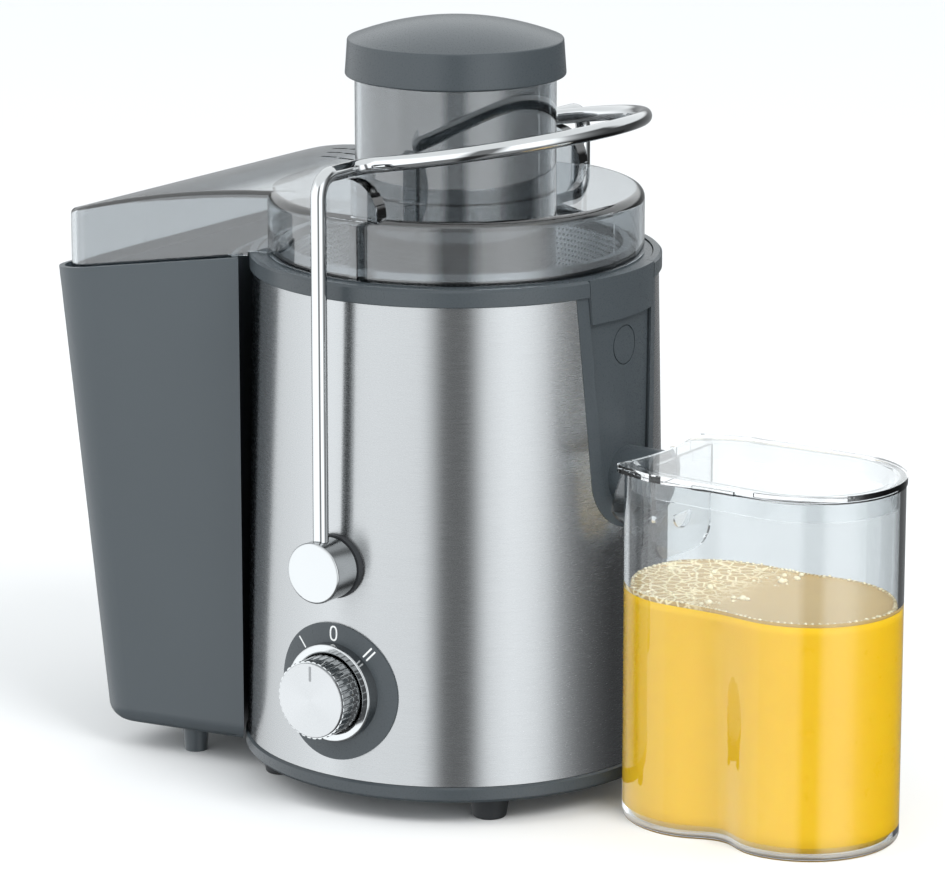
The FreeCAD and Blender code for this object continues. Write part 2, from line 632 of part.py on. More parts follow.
def separator_plate():
    """Upright plate under the lid, with rounded lower corners, that holds the froth back."""
    half = SEPARATOR_HALF
    low = SEPARATOR_LOW
    corner = SEPARATOR_CORNER
    bend = corner * (1 - math.cos(math.pi / 4))

    def at(y, z):
        return V(0, y, z)

    sheet = Part.Wire([
        Part.LineSegment(at(-half, JUG_RIM), at(-half, low + corner)).toShape(),
        Part.Arc(at(-half, low + corner), at(bend - half, low + bend), at(corner - half, low)).toShape(),
        Part.LineSegment(at(corner - half, low), at(half - corner, low)).toShape(),
        Part.Arc(at(half - corner, low), at(half - bend, low + bend), at(half, low + corner)).toShape(),
        Part.LineSegment(at(half, low + corner), at(half, JUG_RIM)).toShape(),
        Part.LineSegment(at(half, JUG_RIM), at(-half, JUG_RIM)).toShape(),
    ])
    plate = Part.Face(sheet).extrude(V(2.0, 0, 0))
    plate.translate(V(SEPARATOR_X, 0, 0))
    window = rod_x(6.0, SEPARATOR_X - 5, SEPARATOR_X + 5, 0, 118)
    return plate.cut(window.common(block((90, 120), (-10, 10), (112, 118))))


def make_jug():
    outer = jug_solid(0, 0.0, JUG_RIM)
    outer = soften(outer, 2.5, level(0))
    scoop = beak(0, 70.0, 104.0).cut(beak_lip_cut())
    jug = joined([outer, scoop])
    jug = jug.cut(jug_solid(JUG_T, 3.0, JUG_RIM + 2))
    nodes["jug"] = jug.cut(beak(JUG_T, 68.0, 110.0))

    lid = prism(lid_plan(0), JUG_RIM + 0.2, JUG_RIM + 0.2 + LID_T)
    lid = lid.cut(cylinder(LID_HOLLOW_R, JUG_RIM - 5, JUG_RIM + 10))
    tab = block((131, 149), (-JUG_FAR_R - 1.4, JUG_FAR_R + 1.4), (JUG_RIM + 0.3, JUG_RIM + 1.9))
    collar = jug_top(JUG_T + 0.5, JUG_RIM - COLLAR_H, JUG_RIM + 0.4)
    collar = collar.cut(jug_top(JUG_T + 2.3, JUG_RIM - COLLAR_H - 1, JUG_RIM + 0.1))
    gate = block((80, SEPARATOR_X), (-BEAK_HALF - 1, BEAK_HALF + 1), (100, JUG_RIM + 1))
    collar = collar.cut(gate).cut(cylinder(LID_HOLLOW_R + 0.5, 100, JUG_RIM + 1))
    nodes["jug_lid"] = joined([lid, tab, collar])
    nodes["froth_separator"] = separator_plate()


# ---- switch and knob ----
def make_switch():
    switch = block((-12, 12), (-76, -60), (KNOB_Z - 12, KNOB_Z + 12))
    nodes["rotary_switch"] = switch.cut(rod_y(3.06, -80, -55, 0, KNOB_Z))
    nodes["switch_shaft"] = rod_y(3.0, -90, -58, 0, KNOB_Z)
    plate = body_cone(-0.9, 17, 90).cut(body_cone(-0.03, 16, 91))
    plate = plate.common(rod_y(DIAL_R, -100, -60, 0, KNOB_Z))
    nodes["dial_plate"] = plate.cut(rod_y(5.0, -100, -60, 0, KNOB_Z))
    collar = tube_y(KNOB_COLLAR_R, KNOB_R + 0.5, -KNOB_COLLAR_FRONT, -76, 0, KNOB_Z)
    collar = soften(collar, 0.7, facing(-KNOB_COLLAR_FRONT))
    nodes["knob_collar"] = collar.cut(body_cone(-0.95, 17, 90))
    grip = rod_y(KNOB_R, -KNOB_FRONT, -84.2, 0, KNOB_Z)
    flutes = []
    for i in range(36):
        flute = rod_y(0.8, -99, -87.2, KNOB_R + 0.4, KNOB_Z)
        flute.rotate(V(0, 0, KNOB_Z), Y_AXIS, i * 10)
        flutes.append(flute)
    grip = grip.cut(Part.makeCompound(flutes))
    nodes["knob_grip"] = grip.cut(rod_y(3.02, -90.1, -80, 0, KNOB_Z))
    face = rod_y(KNOB_FACE_R, -KNOB_FACE_FRONT, -KNOB_FRONT, 0, KNOB_Z)
    nodes["knob_face"] = soften(face, 0.3, facing(-KNOB_FACE_FRONT))


# ---- locking arm ----
def arm_path():
    """Half of the rod's centre line, from the front hub to the middle of the loop."""
    slope = V(math.cos(LOOP_RISE), 0, math.sin(LOOP_RISE))
    elbow = V(0, -ROD_Y, ROD_TOP - ROD_BEND_R)
    bend = ROD_BEND_R
    cos45 = math.cos(math.pi / 4)
    inward = V(0, -ROD_Y + bend, ROD_TOP)
    elbow_mid = V(0, -ROD_Y + bend * (1 - cos45), ROD_TOP - bend * (1 - cos45))
    turn = V(0, -LOOP_HALF - bend, ROD_TOP)
    turned = V(0, -LOOP_HALF, ROD_TOP).add(slope * bend)
    turn_mid = V(0, -LOOP_HALF - bend * (1 - cos45), ROD_TOP).add(slope * (bend * (1 - cos45)))
    loop_start = V(0, -LOOP_HALF, ROD_TOP).add(slope * LOOP_START)
    loop_mid = V(0, -LOOP_HALF * cos45, ROD_TOP).add(slope * (LOOP_START + LOOP_HALF * cos45))
    tip = V(0, 0, ROD_TOP).add(slope * (LOOP_START + LOOP_HALF))
    return [
        Part.LineSegment(V(0, -ROD_Y, PIVOT_Z), elbow).toShape(),
        Part.Arc(elbow, elbow_mid, inward).toShape(),
        Part.LineSegment(inward, turn).toShape(),
        Part.Arc(turn, turn_mid, turned).toShape(),
        Part.LineSegment(turned, loop_start).toShape(),
        Part.Arc(loop_start, loop_mid, tip).toShape(),
    ]


def make_arm():
    path = Part.Wire(arm_path())
    section = Part.Wire(Part.makeCircle(ROD_R, V(0, -ROD_Y, PIVOT_Z), Z_AXIS))
    half = path.makePipeShell([section], True, False)
    hub = rod_y(HUB_R + 0.1, -96, -80, 0, PIVOT_Z)
    half = half.cut(hub)
    nodes["arm_rod"] = joined([half, mirrored_y(half)])

    boss = rod_y(HUB_R, -HUB_FRONT, -83.0, 0, PIVOT_Z)
    boss = soften(boss, 0.8, facing(-HUB_FRONT))
    boss = boss.cut(rod_y(PIN_R, -90, -80, 0, PIVOT_Z))
    washer = rod_y(HUB_R + 0.6, -82.7, -76, 0, PIVOT_Z).cut(body_cone(-0.05, 60, 140))
    washer = washer.cut(rod_y(PIN_R + 0.3, -90, -70, 0, PIVOT_Z))
    bush = tube_y(6.9, PIN_R + 0.05, -80.6, -72, 0, PIVOT_Z)
    pin = rod_y(PIN_R, -90, -64.2, 0, PIVOT_Z)
    clip = tube_y(6.8, PIN_R, -71.6, -70.6, 0, PIVOT_Z)
    for name, piece in (("arm_boss", boss), ("pivot_washer", washer), ("pivot_bush", bush),
                        ("pivot_pin", pin)):
        nodes[name + "_front"] = piece
        nodes[name + "_rear"] = mirrored_y(piece)
    nodes["pivot_clips"] = Part.makeCompound([clip, mirrored_y(clip)])


def make_interlock():
    """A cam on the front pin lets the switch plunger rise as the arm swings out."""
    points = []
    for degrees in range(-60, 61, 10):
        radius = CAM_R - CAM_LIFT * max(0.0, degrees / 45.0)
        angle = math.radians(degrees)
        points.append(V(radius * math.sin(angle), CAM_Y, PIVOT_Z - radius * math.cos(angle)))
    lobe = Part.BSplineCurve()
    lobe.interpolate(points)
    back = [V(5, CAM_Y, PIVOT_Z + 3), V(0, CAM_Y, PIVOT_Z + 6), V(-5, CAM_Y, PIVOT_Z + 4)]
    corners = [points[-1]] + back + [points[0]]
    sides = [Part.LineSegment(a, b).toShape() for a, b in zip(corners, corners[1:])]
    outline = Part.Wire([lobe.toShape()] + sides)
    cam = Part.Face(outline).extrude(V(0, 4.5, 0))
    nodes["interlock_cam"] = cam.cut(rod_y(PIN_R, -80, -60, 0, PIVOT_Z))
    body = block((-9, 9), (-71, -61), (74, 87))
    nodes["safety_switch"] = body.cut(cylinder(1.6, 78, 90, (0, -67.2)))
    nodes["switch_plunger"] = cylinder(1.5, 80, PIVOT_Z - CAM_R - 0.25, (0, -67.2))


def save_all():
    os.makedirs("parts", exist_ok=True)
    whole = Part.makeCompound(list(nodes.values()))
    box = whole.BoundBox
    print("x %.2f %.2f  y %.2f %.2f  z %.2f %.2f" % (
        box.XMin, box.XMax, box.YMin, box.YMax, box.ZMin, box.ZMax))
    for name, shape in nodes.items():
        placed = shape.copy()
        placed.translate(ORIGIN_SHIFT)
        placed.exportStep(os.path.join("parts", name + ".step"))
    print(len(nodes), "nodes")


make_base()
make_body()
make_motor()
make_basket()
make_bowl()
make_cover()
make_pusher()
make_bin()
make_jug()
make_switch()
make_arm()
make_interlock()
save_all()
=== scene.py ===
import json
import math
import random

import bpy
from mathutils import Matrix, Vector
from mathutils.bvhtree import BVHTree


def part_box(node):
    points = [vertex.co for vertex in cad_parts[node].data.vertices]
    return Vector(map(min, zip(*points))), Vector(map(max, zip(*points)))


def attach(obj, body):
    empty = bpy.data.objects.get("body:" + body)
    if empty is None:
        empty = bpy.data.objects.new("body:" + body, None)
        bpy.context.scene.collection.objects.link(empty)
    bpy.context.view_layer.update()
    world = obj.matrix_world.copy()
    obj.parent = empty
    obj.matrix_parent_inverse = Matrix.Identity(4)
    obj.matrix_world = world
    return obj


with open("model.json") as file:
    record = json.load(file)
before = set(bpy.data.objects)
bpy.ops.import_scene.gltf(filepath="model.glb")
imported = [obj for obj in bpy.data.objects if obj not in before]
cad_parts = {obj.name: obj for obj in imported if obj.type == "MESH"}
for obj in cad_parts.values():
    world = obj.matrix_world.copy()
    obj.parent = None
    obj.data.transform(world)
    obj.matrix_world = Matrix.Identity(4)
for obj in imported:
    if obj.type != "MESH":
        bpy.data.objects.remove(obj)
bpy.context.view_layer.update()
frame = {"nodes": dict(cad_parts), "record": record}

# Looks of the centrifugal juicer, in metres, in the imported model's frame.
MM = 0.001
nodes = frame["nodes"]


def centre_of(node):
    low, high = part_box(node)
    return (low + high) / 2


SPINDLE = centre_of("motor_shaft")
KNOB = centre_of("knob_face")
KNOB_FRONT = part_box("knob_face")[0].y
JUG_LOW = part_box("jug")[0]
LID_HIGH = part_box("jug_lid")[1]
JUG_HALF_LENGTH = 56 * MM       # from the lid's far end to the middle of the jug
JUG_MID = Vector((LID_HIGH.x - JUG_HALF_LENGTH, SPINDLE.y, 0))
JUICE_TOP = 91 * MM             # level of the juice
LOOP_COUNT = 120                # points around the jug in the juice and the froth
PRINT_DEPTH = 0.05 * MM         # how far a printed mark reaches into what it is printed on


# ---- camera: the photograph's viewpoint, looking down a little from the front right ----
CAMERA_AT = (0.98607, -1.47565, 0.5757)
CAMERA_TILT = math.radians(90 - 13.93)
CAMERA_TURN = math.radians(34.5) - 0.0036
FOCAL_LENGTH = 179.6            # mm, for a sensor 36 mm wide
CLEAR_BOUNCES = 18              # light crosses many walls of clear plastic


def make_camera():
    lens = bpy.data.cameras.new("camera")
    lens.sensor_width = 36.0
    lens.lens = FOCAL_LENGTH
    camera = bpy.data.objects.new("camera", lens)
    camera.location = CAMERA_AT
    camera.rotation_euler = (CAMERA_TILT, 0, CAMERA_TURN)
    scene = bpy.context.scene
    scene.collection.objects.link(camera)
    scene.camera = camera
    scene.view_settings.view_transform = "Standard"
    scene.cycles.max_bounces = CLEAR_BOUNCES + 2
    scene.cycles.transmission_bounces = CLEAR_BOUNCES
    scene.cycles.transparent_max_bounces = CLEAR_BOUNCES
    return camera


CAMERA = make_camera()


# ---- node trees ----
class Paint:
    """A node tree that is built one node at a time."""

    def __init__(self, tree):
        self.tree = tree
        self.tree.nodes.clear()

    def node(self, kind, inputs=None, **settings):
        made = self.tree.nodes.new("ShaderNode" + kind)
        for key, value in settings.items():
            setattr(made, key, value)
        for key, value in (inputs or {}).items():
            if isinstance(value, bpy.types.NodeSocket):
                self.tree.links.new(value, made.inputs[key])
            else:
                made.inputs[key].default_value = value
        return made

    def place(self):
        return self.node("TexCoord").outputs["Object"]

    def math(self, operation, first, second=0.0, third=0.0):
        inputs = {0: first, 1: second, 2: third}
        return self.node("Math", inputs, operation=operation).outputs[0]

    def scaled(self, vector, factors):
        inputs = {0: vector, 1: factors}
        return self.node("VectorMath", inputs, operation="MULTIPLY").outputs[0]

    def noise(self, vector, scale, detail=2.0, roughness=0.5):
        inputs = {"Vector": vector, "Scale": scale, "Detail": detail, "Roughness": roughness}
        return self.node("TexNoise", inputs).outputs[0]

    def remap(self, value, from_low, from_high, to_low, to_high, smooth=False):
        inputs = {0: value, 1: from_low, 2: from_high, 3: to_low, 4: to_high}
        kind = "SMOOTHSTEP" if smooth else "LINEAR"
        return self.node("MapRange", inputs, interpolation_type=kind).outputs[0]

    def blend(self, factor, first, second):
        inputs = {0: factor, 6: (*first, 1) if isinstance(first, tuple) else first,
                  7: (*second, 1) if isinstance(second, tuple) else second}
        return self.node("Mix", inputs, data_type="RGBA").outputs[2]

    def bump(self, height, distance, strength=1.0):
        inputs = {"Height": height, "Distance": distance, "Strength": strength}
        return self.node("Bump", inputs).outputs[0]

    def polar(self, centre, axis):
        """Distance from an axis, "Y" or "Z", through a point of the model, and angle around it."""
        inputs = {0: self.place(), 1: tuple(centre)}
        offset = self.node("VectorMath", inputs, operation="SUBTRACT").outputs[0]
        parts = self.node("SeparateXYZ", {0: offset}).outputs
        across = parts[0]
        up = parts[1] if axis == "Z" else parts[2]
        return self.length(across, up), self.math("ARCTAN2", up, across)

    def length(self, across, up):
        squares = [self.math("MULTIPLY", side, side) for side in (across, up)]
        return self.math("SQRT", self.math("ADD", *squares))

    def finish(self, inputs):
        shader = self.node("BsdfPrincipled", inputs).outputs[0]
        self.node("OutputMaterial", {"Surface": shader})


def material(name):
    made = bpy.data.materials.new(name)
    made.use_nodes = True
    return made, Paint(made.node_tree)


def shade(colour, factor):
    return tuple(channel * factor for channel in colour)


# ---- materials ----
def moulded(name, colour, roughness, grain, spread=0.06):
    """Moulded plastic: a fine spark-eroded grain, slightly cloudy colour and gloss."""
    made, paint = material(name)
    at = paint.place()
    grains = paint.noise(at, 2400, 3)
    clouds = paint.noise(at, 14, 3)
    paint.finish({
        "Base Color": paint.blend(clouds, shade(colour, 1 - spread), shade(colour, 1 + spread)),
        "Roughness": paint.remap(grains, 0.3, 0.7, roughness - 0.05, roughness + 0.05),
        "Specular IOR Level": 0.3,
        "Normal": paint.bump(grains, grain),
    })
    return made


def brushed(name, colour, roughness, spread=0.1):
    """Sheet steel, brushed around the body: short level streaks, gloss smeared upright."""
    made, paint = material(name)
    at = paint.place()
    fine = paint.noise(paint.scaled(at, (230, 230, 3400)), 1.0, 3, 0.6)
    broad = paint.noise(paint.scaled(at, (60, 60, 900)), 1.0, 2)
    streak = paint.math("ADD", paint.math("MULTIPLY", fine, 0.7), paint.math("MULTIPLY", broad, 0.3))
    tangent = paint.node("Tangent", direction_type="RADIAL", axis="Z").outputs[0]
    paint.finish({
        "Base Color": paint.blend(streak, shade(colour, 1 - spread), shade(colour, 1 + spread)),
        "Metallic": 1.0,
        "Roughness": paint.remap(streak, 0.3, 0.7, roughness - 0.04, roughness + 0.05),
        "Anisotropic": 0.85,
        "Anisotropic Rotation": 0.25,
        "Tangent": tangent,
        "Normal": paint.bump(streak, 0.00002, 0.3),
    })
    return made


def polished(name, colour, roughness):
    """Plated metal, polished: faint cloudiness and the finest polishing marks."""
    made, paint = material(name)
    at = paint.place()
    clouds = paint.noise(at, 90, 3)
    marks = paint.noise(paint.scaled(at, (1400, 1400, 300)), 1.0, 2)
    paint.finish({
        "Base Color": paint.blend(clouds, shade(colour, 0.97), colour),
        "Metallic": 1.0,
        "Roughness": paint.remap(marks, 0.3, 0.7, roughness, roughness + 0.03),
    })
    return made


def turned(name, colour, roughness):
    """Turned aluminium: fine rings about the knob's axis, so the gloss spreads outwards."""
    made, paint = material(name)
    radius = paint.polar(KNOB, "Y")[0]
    stretched = paint.node("CombineXYZ", {0: paint.math("MULTIPLY", radius, 5200)}).outputs[0]
    rings = paint.noise(stretched, 1.0, 2)
    tangent = paint.node("Tangent", direction_type="RADIAL", axis="Y").outputs[0]
    paint.finish({
        "Base Color": paint.blend(rings, shade(colour, 0.92), colour),
        "Metallic": 1.0,
        "Roughness": paint.remap(rings, 0.3, 0.7, roughness - 0.03, roughness + 0.05),
        "Anisotropic": 0.8,
        "Anisotropic Rotation": 0.25,
        "Tangent": tangent,
        "Normal": paint.bump(rings, 0.00001, 0.4),
    })
    return made


def plain_metal(name, colour, roughness, scale=700):
    """Inner metal parts: a mottled, slightly oily surface."""
    made, paint = material(name)
    at = paint.place()
    spots = paint.noise(at, scale, 4, 0.6)
    clouds = paint.noise(at, 40, 3)
    paint.finish({
        "Base Color": paint.blend(clouds, shade(colour, 0.8), colour),
        "Metallic": 1.0,
        "Roughness": paint.remap(spots, 0.3, 0.7, roughness - 0.08, roughness + 0.1),
        "Normal": paint.bump(spots, 0.00004),
    })
    return made


def laminated(name, colour):
    """Motor core: a stack of thin steel sheets, seen on edge."""
    made, paint = material(name)
    sheet_pitch = 0.9 * MM
    height = paint.node("SeparateXYZ", {0: paint.place()}).outputs[2]
    sheets = paint.math("SINE", paint.math("MULTIPLY", height, math.tau / sheet_pitch))
    paint.finish({
        "Base Color": paint.blend(paint.remap(sheets, -1, 1, 0, 1), shade(colour, 0.6), colour),
        "Metallic": 1.0,
        "Roughness": 0.45,
        "Normal": paint.bump(sheets, 0.00008),
    })
    return made


def wound(name, colour):
    """Copper windings: enamelled wire laid around the poles, with painted shade in the grooves between
    the turns.
    """
    made, paint = material(name)
    wire_pitch = 0.8 * MM
    radius = paint.polar(SPINDLE, "Z")[0]
    turns_and_groove_shade = paint.math("SINE", paint.math("MULTIPLY", radius, math.tau / wire_pitch))
    paint.finish({
        # painted shade: the colour darkens to half in the grooves between the wire's turns, where the
        # bump is lowest
        "Base Color": paint.blend(paint.remap(turns_and_groove_shade, -1, 1, 0, 1), shade(colour, 0.5), colour),
        "Metallic": 0.7,
        "Roughness": 0.3,
        "Coat Weight": 0.4,
        "Normal": paint.bump(turns_and_groove_shade, 0.0002),
    })
    return made


def sieve(name, colour):
    """Filter sheet: rows of etched holes, staggered, dark inside."""
    made, paint = material(name)
    holes_around, row_pitch = 190, 1.8 * MM
    angle = paint.polar(SPINDLE, "Z")[1]
    around = paint.math("MULTIPLY", angle, holes_around / math.tau)
    height = paint.node("SeparateXYZ", {0: paint.place()}).outputs[2]
    row = paint.math("DIVIDE", height, row_pitch)
    stagger = paint.math("MULTIPLY", paint.math("MODULO", paint.math("FLOOR", row), 2.0), 0.5)
    cell_x = paint.math("SUBTRACT", paint.math("FRACT", paint.math("ADD", around, stagger)), 0.5)
    cell_y = paint.math("SUBTRACT", paint.math("FRACT", row), 0.5)
    sheet = paint.remap(paint.length(cell_x, cell_y), 0.22, 0.3, 0, 1, smooth=True)
    paint.finish({
        "Base Color": paint.blend(sheet, shade(colour, 0.80), colour),
        "Metallic": 1.0,
        "Roughness": paint.remap(sheet, 0, 1, 0.35, 0.22),
        "Normal": paint.bump(sheet, 0.00003),
    })
    return made


def clear(name, colour, index):
    """Clear moulded plastic that lamps shine through; faint flow marks ripple its gloss."""
    made, paint = material(name)
    at = paint.place()
    flow = paint.noise(at, 35, 2)
    specks = paint.noise(at, 1500, 2)
    body = paint.node("BsdfPrincipled", {
        "Base Color": (*colour, 1),
        "Roughness": paint.remap(specks, 0.3, 0.75, 0.0, 0.02),
        "IOR": index,
        "Transmission Weight": 1.0,
        "Normal": paint.bump(flow, 0.0001, 0.25),
    }).outputs[0]
    skin = tuple(math.sqrt(channel) for channel in colour)
    through = paint.node("BsdfTransparent", {"Color": (*skin, 1)}).outputs[0]
    shadow = paint.node("LightPath").outputs["Is Shadow Ray"]
    mixed = paint.node("MixShader", {0: shadow, 1: body, 2: through}).outputs[0]
    paint.node("OutputMaterial", {"Surface": mixed})
    return made


def juice_paint():
    """Orange juice: cloudy, with pulp that makes the colour uneven."""
    made, paint = material("orange_juice")
    at = paint.place()
    pulp = paint.noise(at, 160, 5, 0.6)
    clouds = paint.noise(at, 22, 3)
    tone = paint.math("ADD", paint.math("MULTIPLY", pulp, 0.3), paint.math("MULTIPLY", clouds, 0.7))
    paint.finish({
        "Base Color": paint.blend(tone, (0.83, 0.455, 0.002), (0.90, 0.555, 0.007)),
        "Roughness": paint.remap(pulp, 0.3, 0.7, 0.25, 0.4),
        "Subsurface Weight": 0.25,
        "Subsurface Radius": (0.006, 0.003, 0.0008),
        "Subsurface Scale": 1.0,
        "IOR": 1.34,
    })
    return made


def foam_paint():
    """Froth on the juice: smooth and pale, with a web of larger bubbles below the spout."""
    made, paint = material("juice_froth")
    at = paint.place()
    cells = {"Vector": at, "Scale": 230.0}
    edge = paint.node("TexVoronoi", cells, feature="DISTANCE_TO_EDGE").outputs["Distance"]
    fine = paint.node("TexVoronoi", {"Vector": at, "Scale": 1500.0}).outputs["Distance"]
    clouds = paint.noise(at, 45, 4, 0.6)
    along = paint.node("SeparateXYZ", {0: at}).outputs[0]
    spout = paint.remap(along, JUG_LOW.x + 35 * MM, JUG_LOW.x + 60 * MM, 1, 0, smooth=True)
    web = paint.math("MULTIPLY", paint.remap(edge, 0.02, 0.14, 1, 0, smooth=True), spout)
    body = paint.blend(clouds, (0.43, 0.275, 0.085), (0.50, 0.34, 0.12))
    height = paint.math("ADD", paint.math("MULTIPLY", web, 0.8), paint.math("MULTIPLY", fine, 0.1))
    paint.finish({
        "Base Color": paint.blend(web, body, (0.86, 0.74, 0.46)),
        "Roughness": 0.35,
        "Subsurface Weight": 0.2,
        "Subsurface Radius": (0.003, 0.002, 0.001),
        "Normal": paint.bump(height, 0.0005, 0.6),
    })
    return made


def ink(name, colour):
    """Pad-printed ink: matt, slightly uneven in cover."""
    made, paint = material(name)
    cover = paint.noise(paint.place(), 3000, 2)
    paint.finish({
        "Base Color": paint.blend(cover, shade(colour, 0.9), colour),
        "Roughness": paint.remap(cover, 0.3, 0.7, 0.45, 0.6),
    })
    return made


def paint_frame():
    """Give every CAD node the finish of its material slot, or one of its own."""
    finishes = {
        "dark_plastic": moulded("satin_plastic", (0.050, 0.060, 0.067), roughness=0.30, grain=0.00002),
        "bin_plastic": moulded("grained_plastic", (0.064, 0.076, 0.085), roughness=0.36, grain=0.00003),
        "brushed_steel": brushed("brushed_steel_finish", (0.355, 0.362, 0.367), roughness=0.26),
        "rubber": moulded("rubber_feet", (0.02, 0.022, 0.024), roughness=0.6, grain=0.00005),
        "steel_hardware": plain_metal("zinc_steel", (0.55, 0.57, 0.58), roughness=0.35),
        "chrome_rod": polished("bright_chrome", (0.52, 0.53, 0.535), roughness=0.02),
        "chrome_trim": polished("satin_chrome", (0.42, 0.43, 0.435), roughness=0.10),
        "turned_aluminium": turned("turned_face", (0.42, 0.427, 0.433), roughness=0.24),
        "knob_plating": polished("knob_chrome", (0.42, 0.43, 0.435), roughness=0.08),
        "black_nylon": moulded("nylon", (0.03, 0.032, 0.035), roughness=0.5, grain=0.00003),
        "cast_bracket": plain_metal("cast_alloy", (0.50, 0.52, 0.53), roughness=0.5, scale=350),
        "core_steel": laminated("core_sheets", (0.35, 0.36, 0.38)),
        "winding_copper": wound("copper_wire", (0.80, 0.36, 0.16)),
        "basket_steel": polished("basket_sheet", (0.36, 0.37, 0.375), roughness=0.22),
        "smoke_clear": clear("smoke_plastic", (0.54, 0.57, 0.59), index=1.85),
        "jug_clear": clear("clear_plastic", (0.74, 0.765, 0.775), index=1.48),
    }
    one_off = {
        "filter_cone": sieve("filter_sheet", (0.42, 0.43, 0.435)),
        "pusher_tube": clear("dark_smoke_plastic", (0.26, 0.28, 0.29), index=1.85),
        "jug_lid": clear("lid_plastic", (0.95, 0.96, 0.965), index=1.48),
        "froth_separator": clear("separator_plastic", (0.93, 0.945, 0.95), index=1.48),
    }
    slots = {part["node"]: part["material_slot"] for part in frame["record"]["subparts"]}
    for name, piece in nodes.items():
        for place in piece.material_slots:
            place.material = one_off.get(name) or finishes[slots[name]]


# ---- pieces that only Blender makes ----
def mesh_piece(name, points, faces, finish, body, smooth=True):
    mesh = bpy.data.meshes.new(name)
    mesh.from_pydata([tuple(p) for p in points], [], faces)
    mesh.validate()
    mesh.update()
    for face in mesh.polygons:
        face.use_smooth = smooth
    mesh.materials.append(finish)
    piece = bpy.data.objects.new(name, mesh)
    bpy.context.scene.collection.objects.link(piece)
    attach(piece, body)
    return piece


def tree_of(node):
    mesh = nodes[node].data
    points = [v.co for v in mesh.vertices]
    return BVHTree.FromPolygons(points, [tuple(p.vertices) for p in mesh.polygons])


JUG_WALL = tree_of("jug")


def band(first, second, count, turned_over=False):
    """Faces between two loops of points, given by the number of each loop's first point."""
    faces = []
    for i in range(count):
        j = (i + 1) % count
        a, b, c, d = first + i, first + j, second + j, second + i
        faces.append((a, d, c, b) if turned_over else (a, b, c, d))
    return faces


def cap(first, count, turned_over=False):
    """One face that fills a loop of points."""
    loop = range(first, first + count)
    return tuple(reversed(loop)) if turned_over else tuple(loop)


def slab(outline, hollow, on_surface, thickness):
    """Points and faces of a thin printed shape: outline corners, pressed onto a surface."""
    loops = [outline, hollow] if hollow else [outline]
    points = []
    for lift in (PRINT_DEPTH, -thickness):
        for loop in loops:
            points += [on_surface(x, z) + Vector((0, lift, 0)) for x, z in loop]
    count = len(outline)
    front = len(points) // 2
    faces = band(0, front, count)
    if hollow:
        faces += band(front, front + count, count)
        faces += band(0, count, count, turned_over=True)
        faces += band(count, front + count, count, turned_over=True)
    else:
        faces += [cap(front, count), cap(0, count, turned_over=True)]
    return points, faces


def dial_marks():
    """The switch positions I, 0 and II, printed around the knob."""
    white = ink("white_ink", (0.86, 0.88, 0.88))
    dial = tree_of("dial_plate")
    marks_at = 22.9 * MM        # from the knob's axis
    fan = math.radians(43)      # from the mark at the top to the one on either side
    thickness = 0.08 * MM
    pair_half_gap = 0.95 * MM

    def on_dial(x, z):
        start = Vector((x, KNOB.y - 50 * MM, z))
        return dial.ray_cast(start, Vector((0, 1, 0)))[0]

    def place(angle, across, out):
        """Point at an offset from a mark's centre: across it, and outwards from the knob."""
        reach = marks_at + out
        return (KNOB.x + reach * math.sin(angle) + across * math.cos(angle),
                KNOB.z + reach * math.cos(angle) - across * math.sin(angle))

    def bar(name, angle, shift):
        half_long, half_wide = 2.6 * MM, 0.33 * MM
        outline = [place(angle, shift + a * half_wide, b * half_long)
                   for a, b in ((-1, -1), (1, -1), (1, 1), (-1, 1))]
        points, faces = slab(outline, None, on_dial, thickness)
        mesh_piece(name, points, faces, white, "base", smooth=False)

    def oval(half_wide, half_high, corners=40, power=0.8):
        """A slightly squared oval at the top of the dial."""
        loop = []
        for i in range(corners):
            across, up = math.cos(math.tau * i / corners), math.sin(math.tau * i / corners)
            loop.append(place(0, math.copysign(abs(across) ** power, across) * half_wide,
                              math.copysign(abs(up) ** power, up) * half_high))
        return loop

    bar("mark_one", -fan, 0)
    bar("mark_two_left", fan, -pair_half_gap)
    bar("mark_two_right", fan, pair_half_gap)
    outside = oval(1.75 * MM, 3.0 * MM)
    inside = oval(1.1 * MM, 2.35 * MM)
    points, faces = slab(outside, inside, on_dial, thickness)
    mesh_piece("mark_zero", points, faces, white, "base", smooth=False)


def knob_pointer():
    """Short dark line with round ends, printed at the edge of the knob's face."""
    dark = ink("pointer_ink", (0.30, 0.31, 0.32))
    half_wide = 0.55 * MM
    inner_end, outer_end = 8.0 * MM, 13.0 * MM
    steps = 6
    outline = []
    for end, start in ((outer_end, 0), (inner_end, math.pi)):
        for i in range(steps + 1):
            turn = start + math.pi * i / steps
            outline.append((KNOB.x + half_wide * math.cos(turn),
                            KNOB.z + end + half_wide * math.sin(turn)))
    points, faces = slab(outline, None, lambda x, z: Vector((x, KNOB_FRONT, z)), 0.04 * MM)
    mesh_piece("knob_pointer", points, faces, dark, "knob", smooth=False)


def jug_inside(level, grow):
    """Points on the jug's inner wall at a height, moved outwards by grow."""
    loop = []
    start = Vector((JUG_MID.x, JUG_MID.y, level))
    for i in range(LOOP_COUNT):
        turn = math.tau * i / LOOP_COUNT
        way = Vector((math.cos(turn), math.sin(turn), 0))
        loop.append(JUG_WALL.ray_cast(start, way)[0] + way * grow)
    return loop


